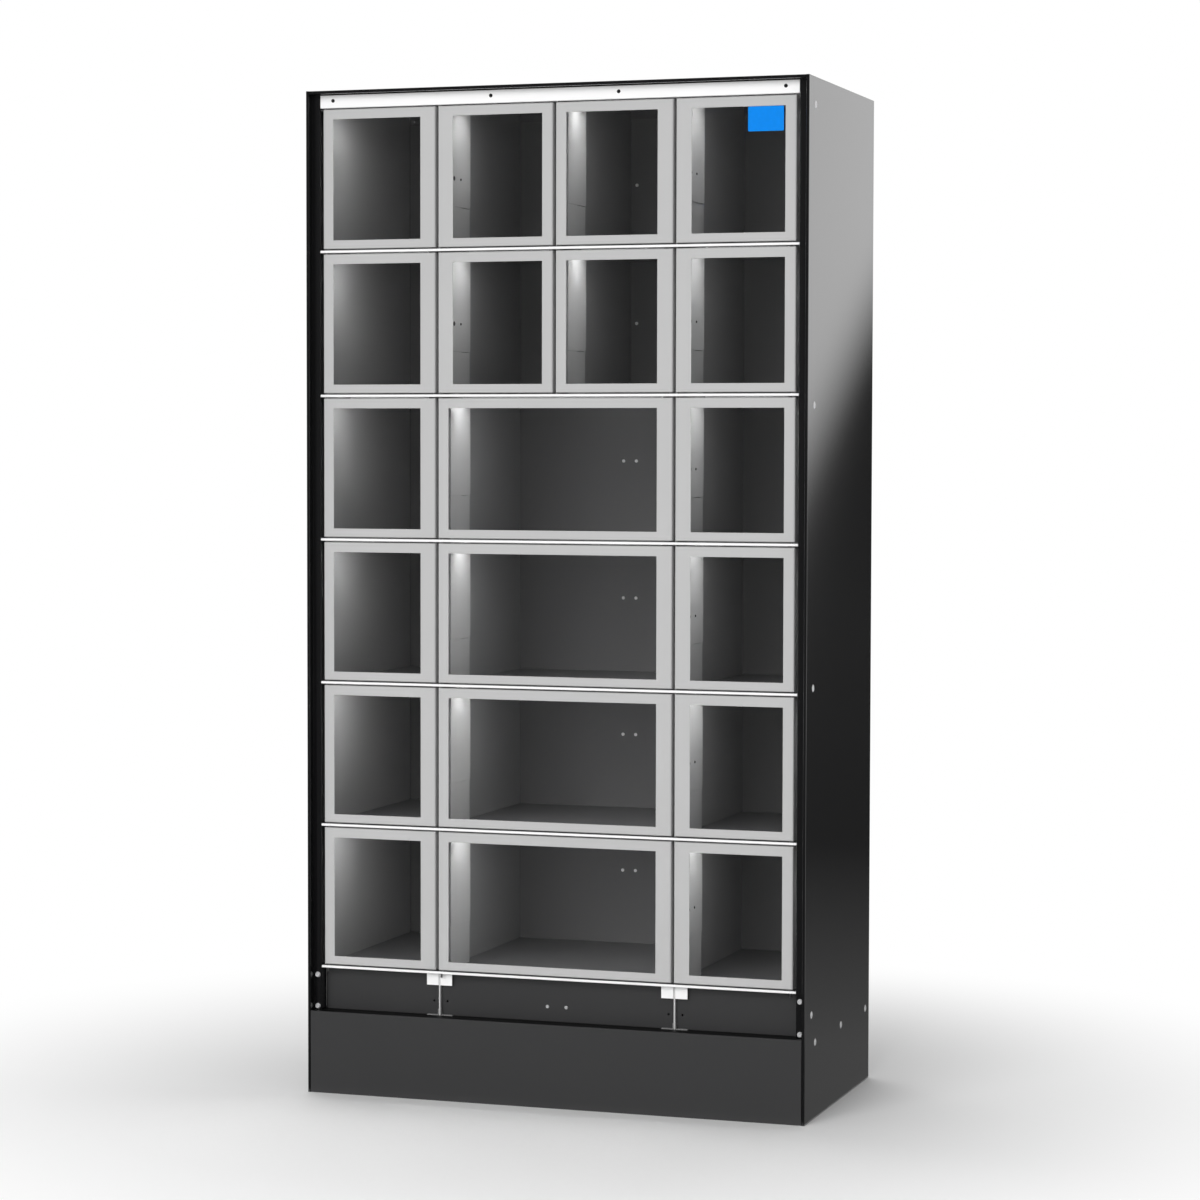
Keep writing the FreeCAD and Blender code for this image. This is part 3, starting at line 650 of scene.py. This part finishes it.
def screw_group(name, places, radius, height, finish, shank=(0.002, 0.007), flat=0.7, socket=0.55):
    """One mesh of screws; each place is a point on the sheet and the direction the head faces."""
    mesh = bpy.data.meshes.new(name + "_points")
    mesh.from_pydata([place for place, direction in places], [], [])
    facing = mesh.attributes.new("facing", "FLOAT_VECTOR", "POINT")
    for item, (place, direction) in zip(facing.data, places):
        item.vector = direction
    sizes = {
        "Head Radius": radius,
        "Head Height": height,
        "Flat Share": flat,
        "Socket Share": socket,
        "Socket Depth": height * socket_depth_share,
        "Shank Radius": shank[0],
        "Shank Length": shank[1],
        "Finish": finish,
    }
    return grow(name, mesh, heads, sizes)


print("tree inputs:", [item.name for item in heads.interface.items_tree])

# %% [markdown]
# The shell's own bolts and screws come with the frame as plain bevelled heads. The heads made here have
# the sunk drive of a real screw, stand on the same places and take over from that node. Their places
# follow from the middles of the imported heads, so nothing is measured twice.

# %% Bolts of the shell
weld_digits = 6
to_front = Vector((0, -1, 0))


def islands(node):
    """Lowest and highest corners of each loose solid in a node."""
    links = {}
    corner = {}

    def root(key):
        while links[key] != key:
            links[key] = links[links[key]]
            key = links[key]
        return key

    for vertex in node.data.vertices:
        key = tuple(round(c, weld_digits) for c in vertex.co)
        corner[vertex.index] = key
        links.setdefault(key, key)
    for edge in node.data.edges:
        first, second = (root(corner[index]) for index in edge.vertices)
        links[first] = second
    groups = {}
    for key in links:
        groups.setdefault(root(key), []).append(key)
    return [
        (Vector(map(min, zip(*keys))), Vector(map(max, zip(*keys)))) for keys in groups.values()
    ]


side_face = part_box("right_side_panel")[1].x
door_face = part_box("door_r1_c1")[0].y
bay_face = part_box("bay_panels")[0].y
side_bolts = []
flange_screws = []
bay_screws = []
for low, high in islands(nodes["cabinet_screws"]):
    middle = (low + high) / 2
    if high.x > side_face or low.x < -side_face:
        outward = Vector((math.copysign(1, middle.x), 0, 0))
        side_bolts.append((Vector((outward.x * side_face, middle.y, middle.z)), outward))
        bolt_radius = (high.z - low.z) / 2
    elif low.y < door_face:
        flange_screws.append((Vector((middle.x, door_face, middle.z)), to_front))
        flange_radius = (high.z - low.z) / 2
        flange_height = door_face - low.y
    else:
        bay_screws.append((Vector((middle.x, bay_face, middle.z)), to_front))
        bay_radius = (high.z - low.z) / 2
        bay_height = bay_face - low.y

bolt_height = 0.0009
bolt_shank = (0.003, 0.009)
bolt_heads = screw_group("side_bolt_heads", side_bolts, bolt_radius, bolt_height, zinc, bolt_shank)
flange_heads = screw_group("flange_screw_heads", flange_screws, flange_radius, flange_height, zinc)
bay_heads = screw_group("bay_screw_heads", bay_screws, bay_radius, bay_height, zinc)
for piece in (bolt_heads, flange_heads, bay_heads):
    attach(piece, "cabinet_body")
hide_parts("cabinet_screws")

# %% [markdown]
# The lamp bars come with the frame as plain prisms of a few long faces. A renderer aims its light at
# whole faces, so a long one lights what is close to it badly. Here every bar is drawn again as a path cut
# into short links, with the same section swept along it. One tree does it for all bars: it takes the
# paths and the section as one mesh of edges, told apart by an attribute.

# %% Tree for lamp bars
def lamp_tree(name):
    """Sweep of a section along paths, cut across into links."""
    tree, inside, outside = new_tree(name, ("Link Length",))
    marked = add(tree, "GeometryNodeInputNamedAttribute", data_type="BOOLEAN", Name="section")
    parted = add(tree, "GeometryNodeSeparateGeometry", domain="POINT")
    join(tree, inside.outputs["Geometry"], parted.inputs["Geometry"])
    join(tree, marked.outputs["Attribute"], parted.inputs["Selection"])
    section = add(tree, "GeometryNodeMeshToCurve")
    join(tree, parted.outputs["Selection"], section.inputs["Mesh"])
    paths = add(tree, "GeometryNodeMeshToCurve")
    join(tree, parted.outputs["Inverted"], paths.inputs["Mesh"])
    cut = add(tree, "GeometryNodeResampleCurve", mode="LENGTH")
    join(tree, paths.outputs["Curve"], cut.inputs["Curve"])
    join(tree, inside.outputs["Link Length"], cut.inputs["Length"])
    sweep = add(tree, "GeometryNodeCurveToMesh", Fill_Caps=True)
    join(tree, cut.outputs["Curve"], sweep.inputs["Curve"])
    join(tree, section.outputs["Curve"], sweep.inputs["Profile Curve"])
    crisp = add(tree, "GeometryNodeSetShadeSmooth", Shade_Smooth=False)
    join(tree, sweep.outputs["Mesh"], crisp.inputs["Geometry"])
    end_tree(tree, inside, outside, crisp.outputs["Geometry"])
    return tree


strips = lamp_tree("lamp_strips")
print("tree nodes:", len(strips.nodes))

# %% [markdown]
# The section is drawn round the path, so a path runs through the middle of its bar. Along X the sweep
# turns the section over: its first direction points to the front and its second one down.

# %% Lamp bars
link_length = 0.008
bar_bevel = 0.003
bar_boxes = islands(nodes["cell_lamps"])
half = (bar_boxes[0][1] - bar_boxes[0][0]) / 2
section = [
    (half.y, -half.z),
    (half.y, half.z),
    (bar_bevel - half.y, half.z),
    (-half.y, half.z - bar_bevel),
    (-half.y, -half.z),
]
corners = [(across, down, 0) for across, down in section]
edges = [(index, (index + 1) % len(section)) for index in range(len(section))]
for low, high in bar_boxes:
    middle = (low + high) / 2
    edges.append((len(corners), len(corners) + 1))
    corners += [(low.x, middle.y, middle.z), (high.x, middle.y, middle.z)]
bar_lines = bpy.data.meshes.new("bar_lines")
bar_lines.from_pydata(corners, edges, [])
marks = bar_lines.attributes.new("section", "BOOLEAN", "POINT")
for index in range(len(section)):
    marks.data[index].value = True
bars = grow("lamp_bars", bar_lines, strips, {"Link Length": link_length, "Finish": lamp_white})
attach(bars, "cabinet_body")
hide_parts("cell_lamps")

# %% [markdown]
# Two dark fixings show on the pale cover in front of each lock: a wide one near the door, with the lock's
# release in it, and a small screw behind it. The wide one's black is painted shade for a dark hole there.
# Their places follow from the locks.

# %% Screws of the lock covers
divider_lines = (-0.2373, 0, 0.2373)
cover_reach = 0.01875
cover_shank = (0.0012, 0.001)
fixing_height = 0.0012
# The release plug's black disc is painted shade for a dark hole in the cover.
plug_inset = 0.016
plug_radius = 0.0048
cover_screw_inset = 0.052
cover_screw_radius = 0.0026
fixing_kinds = (
    ("release_plugs", plug_inset, plug_radius),
    ("cover_screws", cover_screw_inset, cover_screw_radius),
)
for name, inset, radius in fixing_kinds:
    places = []
    for low, high in islands(nodes["door_locks"]):
        middle = (low + high) / 2
        line = min(divider_lines, key=lambda x: abs(x - middle.x))
        outward = Vector((math.copysign(1, middle.x - line), 0, 0))
        spot = Vector((line + outward.x * cover_reach, low.y + inset, middle.z))
        places.append((spot, outward))
    fixings = screw_group(name, places, radius, fixing_height, lock_black, cover_shank)
    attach(fixings, "cabinet_body")

# %% [markdown]
# The back sheet is held to the flanges of the shell by a row of screws round its edge. The photograph
# doesn't show that side, so the row is plain: even steps, close to the edge.

# %% Screws of the back panel
back_low, back_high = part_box("back_panel")
back_inset = 0.009
back_step = 0.24
back_screw_radius = 0.0045
back_screw_height = 0.0022
back_places = []
to_back = Vector((0, 1, 0))


def even_steps(low, high, step):
    """Places from low to high, evenly spread, about one step apart."""
    count = max(1, round((high - low) / step))
    return [low + (high - low) * index / count for index in range(count + 1)]


for z in even_steps(back_low.z + back_inset, back_high.z - back_inset, back_step):
    for x in (back_low.x + back_inset, back_high.x - back_inset):
        back_places.append((Vector((x, back_high.y, z)), to_back))
for x in even_steps(back_low.x + back_inset, back_high.x - back_inset, back_step)[1:-1]:
    back_places.append((Vector((x, back_high.y, back_high.z - back_inset)), to_back))
back_shank = (0.0018, 0.0025)
back_screws = screw_group(
    "back_screws", back_places, back_screw_radius, back_screw_height, zinc, back_shank
)
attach(back_screws, "cabinet_body")

# %% [markdown]
# Behind the cells, bright heads show in pairs down the middle of the back sheet, one pair to a row: the
# photograph has them at the same two lines in every wide cell. They face into the cabinet. Their
# near-white is painted light for those bright spots.

# %% Pairs in the middle of the back panel
pair_offset = 0.0135
pair_span = (0.396, 1.785)
pair_count = 6
pair_radius = 0.0034
pair_height = 0.0012
pair_shank = (0.0016, 0.0006)
pair_flat = 0.92
pair_socket = 0.15
pair_places = []
for index in range(pair_count):
    z = pair_span[0] + (pair_span[1] - pair_span[0]) * index / (pair_count - 1)
    for x in (-pair_offset, pair_offset):
        pair_places.append((Vector((x, back_low.y, z)), to_front))
middle_screws = screw_group(
    "back_middle_screws",
    pair_places,
    pair_radius,
    pair_height,
    heads_painted_light,
    pair_shank,
    pair_flat,
    pair_socket,
)
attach(middle_screws, "cabinet_body")

# %% [markdown]
# The four holes of the header strip are dark. A small black screw with a low head sits in each, so that
# no light from inside shows through. The black of these heads is painted shade for the dark holes.

# %% Screws of the header strip
header_low, header_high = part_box("header_strip")
header_shares = (-0.945, -0.267, 0.267, 0.945)
header_rise = 0.014
header_places = [
    (Vector((share * header_high.x, header_low.y, header_low.z + header_rise)), to_front)
    for share in header_shares
]
header_radius = 0.0036
header_height = 0.0008
header_shank = (0.0015, 0.004)
header_flat = 0.8
header_socket = 0.5
header_screws = screw_group(
    "header_screws",
    header_places,
    header_radius,
    header_height,
    screw_black,
    header_shank,
    header_flat,
    header_socket,
)
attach(header_screws, "cabinet_body")

# %% [markdown]
# A blue sticker sits in the corner of one pane. Here it is a bare label: a thin sheet with rounded
# corners and a faint print grain, with nothing written on it.

# %% Bare label
label_low = (0.3785, 1.8405)
label_high = (0.4470, 1.8862)
label_radius = 0.002
label_film = 0.0002
label_blue = (0.001, 0.22, 0.76)


def printed_film(name, colour):
    """Smooth coloured film with a slight mottle."""
    finish, tree, shader, where = new_finish(name)
    mottle = noise(tree, where, scale=120.0, detail=3.0)
    join(tree, tint(tree, mottle, colour, drift=0.08), shader.inputs["Base Color"])
    join(tree, spread(tree, mottle, *satin), shader.inputs["Roughness"])
    shader.inputs["Specular IOR Level"].default_value = 0.15
    return finish


def rounded_rectangle(low, high, radius, steps=6):
    """Outline in two directions, round at its four corners."""
    outline = []
    centres = [
        (high[0] - radius, high[1] - radius, 0),
        (low[0] + radius, high[1] - radius, 1),
        (low[0] + radius, low[1] + radius, 2),
        (high[0] - radius, low[1] + radius, 3),
    ]
    for across, up, quarter in centres:
        for index in range(steps + 1):
            angle = (quarter + index / steps) * math.pi / 2
            outline.append((across + radius * math.cos(angle), up + radius * math.sin(angle)))
    return outline


label_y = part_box("pane_r1_c4")[0].y
outline = rounded_rectangle(label_low, label_high, label_radius)
count = len(outline)
vertices = [(x, label_y - label_film, z) for x, z in outline] + [(x, label_y, z) for x, z in outline]
faces = [tuple(range(count)), tuple(range(2 * count - 1, count - 1, -1))]
faces += [(i, i + count, (i + 1) % count + count, (i + 1) % count) for i in range(count)]
label_mesh = bpy.data.meshes.new("bare_label")
label_mesh.from_pydata(vertices, [], faces)
label_mesh.materials.append(printed_film("label_blue", label_blue))
label = bpy.data.objects.new("bare_label", label_mesh)
bpy.context.scene.collection.objects.link(label)
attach(label, "leaf_r1_c4")
print("label faces:", len(label_mesh.polygons))

# %% [markdown]
# The studio is a white room. A disc of pale floor takes the shadow and fades to the white of the
# backdrop, the backdrop is the world's own white for the camera and for reflections, and the light on
# the object comes from two large soft lamps and a low, even fill.

# %% Floor
floor_radius = 12.0
floor_sides = 96
floor_white = (0.90, 0.90, 0.90)
fade_start = 0.45
fade_end = 1.7


def pale_floor(name):
    """Pale matt floor that fades into the white of the backdrop."""
    finish, tree, shader, where = new_finish(name)
    speck = noise(tree, where, scale=60.0, detail=4.0)
    join(tree, tint(tree, speck, floor_white, drift=0.01), shader.inputs["Base Color"])
    shader.inputs["Roughness"].default_value = 0.8
    shader.inputs["Specular IOR Level"].default_value = 0.1
    reach = add(tree, "ShaderNodeVectorMath", operation="LENGTH")
    join(tree, where, reach.inputs[0])
    fade = add(tree, "ShaderNodeMapRange", From_Min=fade_start, From_Max=fade_end)
    fade.interpolation_type = "SMOOTHSTEP"
    join(tree, reach.outputs["Value"], fade.inputs["Value"])
    white = add(tree, "ShaderNodeEmission", Strength=1.0)
    mix_shaders(tree, fade.outputs["Result"], shader.outputs["BSDF"], white.outputs["Emission"])
    return finish


turns = [2 * math.pi * index / floor_sides for index in range(floor_sides)]
ring = [(floor_radius * math.cos(turn), floor_radius * math.sin(turn), 0) for turn in turns]
floor_mesh = bpy.data.meshes.new("floor")
floor_mesh.from_pydata(ring, [], [tuple(range(floor_sides))])
floor_mesh.materials.append(pale_floor("floor_pale"))
floor = bpy.data.objects.new("floor", floor_mesh)
bpy.context.scene.collection.objects.link(floor)
floor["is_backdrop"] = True
print("floor radius:", floor_radius)

# %% [markdown]
# The world does three jobs. The camera sees plain white; diffuse surfaces get a low, even fill; and
# mirrors and panes see a room that is dim towards the front and white towards the back, so that the
# clear doors aren't veiled and the black shell still has something bright to reflect.

# %% World
fill_light = 0.40
front_gloom = 0.07
bright_side = (0.4, 0.92, 0)
gloom_end = 0.1
white_start = 0.75


def blend_values(tree, factor, low, high):
    """Number that goes from low to high with a factor; each is a socket or a plain number."""
    mix = add(tree, "ShaderNodeMix", data_type="FLOAT")
    join(tree, factor, mix.inputs[0])
    for socket, value in zip(mix.inputs[2:4], (low, high)):
        if isinstance(value, float):
            socket.default_value = value
        else:
            join(tree, value, socket)
    return mix.outputs[0]


world = bpy.data.worlds.new("white_room")
bpy.context.scene.world = world
world.use_nodes = True
room = world.node_tree
room.nodes.clear()
rays = add(room, "ShaderNodeLightPath")
direction = add(room, "ShaderNodeTexCoord")
bright_wall = add(room, "ShaderNodeVectorMath", operation="DOT_PRODUCT")
bright_wall.inputs[1].default_value = bright_side
join(room, direction.outputs["Generated"], bright_wall.inputs[0])
behind = add(room, "ShaderNodeMapRange", From_Min=gloom_end, From_Max=white_start)
join(room, bright_wall.outputs["Value"], behind.inputs["Value"])
mirrored = add(room, "ShaderNodeMath", operation="MAXIMUM")
join(room, rays.outputs["Is Glossy Ray"], mirrored.inputs[0])
join(room, rays.outputs["Is Transmission Ray"], mirrored.inputs[1])
walls = blend_values(room, behind.outputs["Result"], front_gloom, 1.0)
lit = blend_values(room, mirrored.outputs["Value"], fill_light, walls)
seen = blend_values(room, rays.outputs["Is Camera Ray"], lit, 1.0)
backdrop = add(room, "ShaderNodeBackground", Color=(1, 1, 1, 1))
join(room, seen, backdrop.inputs["Strength"])
room_out = add(room, "ShaderNodeOutputWorld")
join(room, backdrop.outputs["Background"], room_out.inputs["Surface"])
print("fill:", fill_light, "gloom in front:", front_gloom)

# %% [markdown]
# The main light has to fall evenly on two metres of doors, so it is a sun with a wide disc, high in
# front. That steep light reaches the fronts of the cells and leaves their backs dark, as in the
# photograph. A weaker one, high behind on the left, keeps the back and that side readable.

# %% Lamps
locker_middle = Vector((0, 0, 1))
key_place = Vector((-0.9, -5.0, 3.2))
key_strength = 1.9
key_disc = 40.0
rear_place = Vector((-2.0, 4.0, 4.0))
rear_strength = 0.9
rear_disc = 60.0


def wide_sun(name, place, strength, disc_degrees):
    """Sun that shines from a place towards the middle of the locker, with soft shadows."""
    data = bpy.data.lights.new(name, "SUN")
    data.energy = strength
    data.angle = math.radians(disc_degrees)
    lamp = bpy.data.objects.new(name, data)
    lamp.location = place
    lamp.rotation_euler = (locker_middle - place).to_track_quat("-Z", "Y").to_euler()
    for ray in ("visible_camera", "visible_glossy", "visible_transmission"):
        setattr(lamp, ray, False)
    bpy.context.scene.collection.objects.link(lamp)
    return lamp


lamps = (
    wide_sun("key_light", key_place, key_strength, key_disc),
    wide_sun("rear_light", rear_place, rear_strength, rear_disc),
)
print("lamps:", [lamp.name for lamp in lamps])

# %% [markdown]
# The right side panel is gloss black, so what shows on it is the room. In the photograph its upper part
# mirrors a bright wall and its lower part a dark one, along a slanting edge. Cards, as a photo studio
# uses them, do the same: one stands behind the locker, dark below a slanting line, and one lies beside
# it on the floor. A dark cloth in front keeps the white floor out of the panes. Only reflections see
# them.

# %% Dark cards for the reflections
card_y = 0.6
card_ends = (0.502, 1.7)
card_top = 2.7
slant_middle = (0.655, 1.402)
slant_fall = 2.2
slant_soft = 0.16
card_dark = 0.025
floor_card_glow = 0.13
glow_height = 0.42
cloth_black = (0.05, 0.05, 0.05)
cloth_lift = 0.0012
cloth_x = (-7.0, 7.0)
cloth_y = (-12.0, -0.27)


def card_light(name):
    """Glow of the cards: dark, white above the slanting line, and a little lighter at the floor."""
    finish = bpy.data.materials.new(name)
    finish.use_nodes = True
    tree = finish.node_tree
    tree.nodes.clear()
    where = add(tree, "ShaderNodeTexCoord")
    slant = add(tree, "ShaderNodeVectorMath", operation="DOT_PRODUCT")
    slant.inputs[1].default_value = (slant_fall, 0, 1)
    join(tree, where.outputs["Object"], slant.inputs[0])
    middle = slant_middle[1] + slant_fall * slant_middle[0]
    fade = add(tree, "ShaderNodeMapRange", From_Min=middle - slant_soft, From_Max=middle + slant_soft)
    fade.interpolation_type = "SMOOTHSTEP"
    join(tree, slant.outputs["Value"], fade.inputs["Value"])
    split = add(tree, "ShaderNodeSeparateXYZ")
    join(tree, where.outputs["Object"], split.inputs["Vector"])
    dark = add(tree, "ShaderNodeMapRange", From_Max=glow_height, To_Min=floor_card_glow, To_Max=card_dark)
    join(tree, split.outputs["Z"], dark.inputs["Value"])
    glow = add(tree, "ShaderNodeEmission")
    strength = blend_values(tree, fade.outputs["Result"], dark.outputs["Result"], 1.0)
    join(tree, strength, glow.inputs["Strength"])
    out = add(tree, "ShaderNodeOutputMaterial")
    join(tree, glow.outputs["Emission"], out.inputs["Surface"])
    return finish


def cloth_dark(name):
    """Dark cloth for the floor in front."""
    finish, tree, shader, where = new_finish(name)
    weave = noise(tree, where, scale=300.0)
    join(tree, tint(tree, weave, cloth_black, drift=0.1), shader.inputs["Base Color"])
    shader.inputs["Roughness"].default_value = 0.9
    return finish


def card(name, corners, finish):
    """Flat card that only reflections see."""
    mesh = bpy.data.meshes.new(name)
    mesh.from_pydata(corners, [], [(0, 1, 2, 3)])
    mesh.materials.append(finish)
    made = bpy.data.objects.new(name, mesh)
    bpy.context.scene.collection.objects.link(made)
    for ray in ("visible_camera", "visible_diffuse", "visible_shadow", "visible_transmission"):
        setattr(made, ray, False)
    made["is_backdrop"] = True
    return made


def rectangle(x_span, y_span, z_span):
    """Corners of a flat rectangle: upright where its depth is one value, level otherwise."""
    (left, right), (near, far), (low, high) = x_span, y_span, z_span
    return [(left, near, low), (right, near, low), (right, far, high), (left, far, high)]


light_of_card = card_light("card_light")
upright = rectangle(card_ends, (card_y, card_y), (cloth_lift, card_top))
beside = rectangle(card_ends, (cloth_y[1], card_y), (cloth_lift, cloth_lift))
in_front = rectangle(cloth_x, cloth_y, (cloth_lift, cloth_lift))
cards = (
    card("standing_card", upright, light_of_card),
    card("floor_card", beside, light_of_card),
    card("front_cloth", in_front, cloth_dark("cloth_dark")),
)
print("cards:", [made.name for made in cards])

# %% [markdown]
# The view transform is Standard, so a colour renders about as it is written. The size of the dressed
# locker is printed.

# %% View and sizes
bpy.context.scene.view_settings.view_transform = "Standard"
low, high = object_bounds()
print("visual box:", [round(value, 4) for value in high - low])
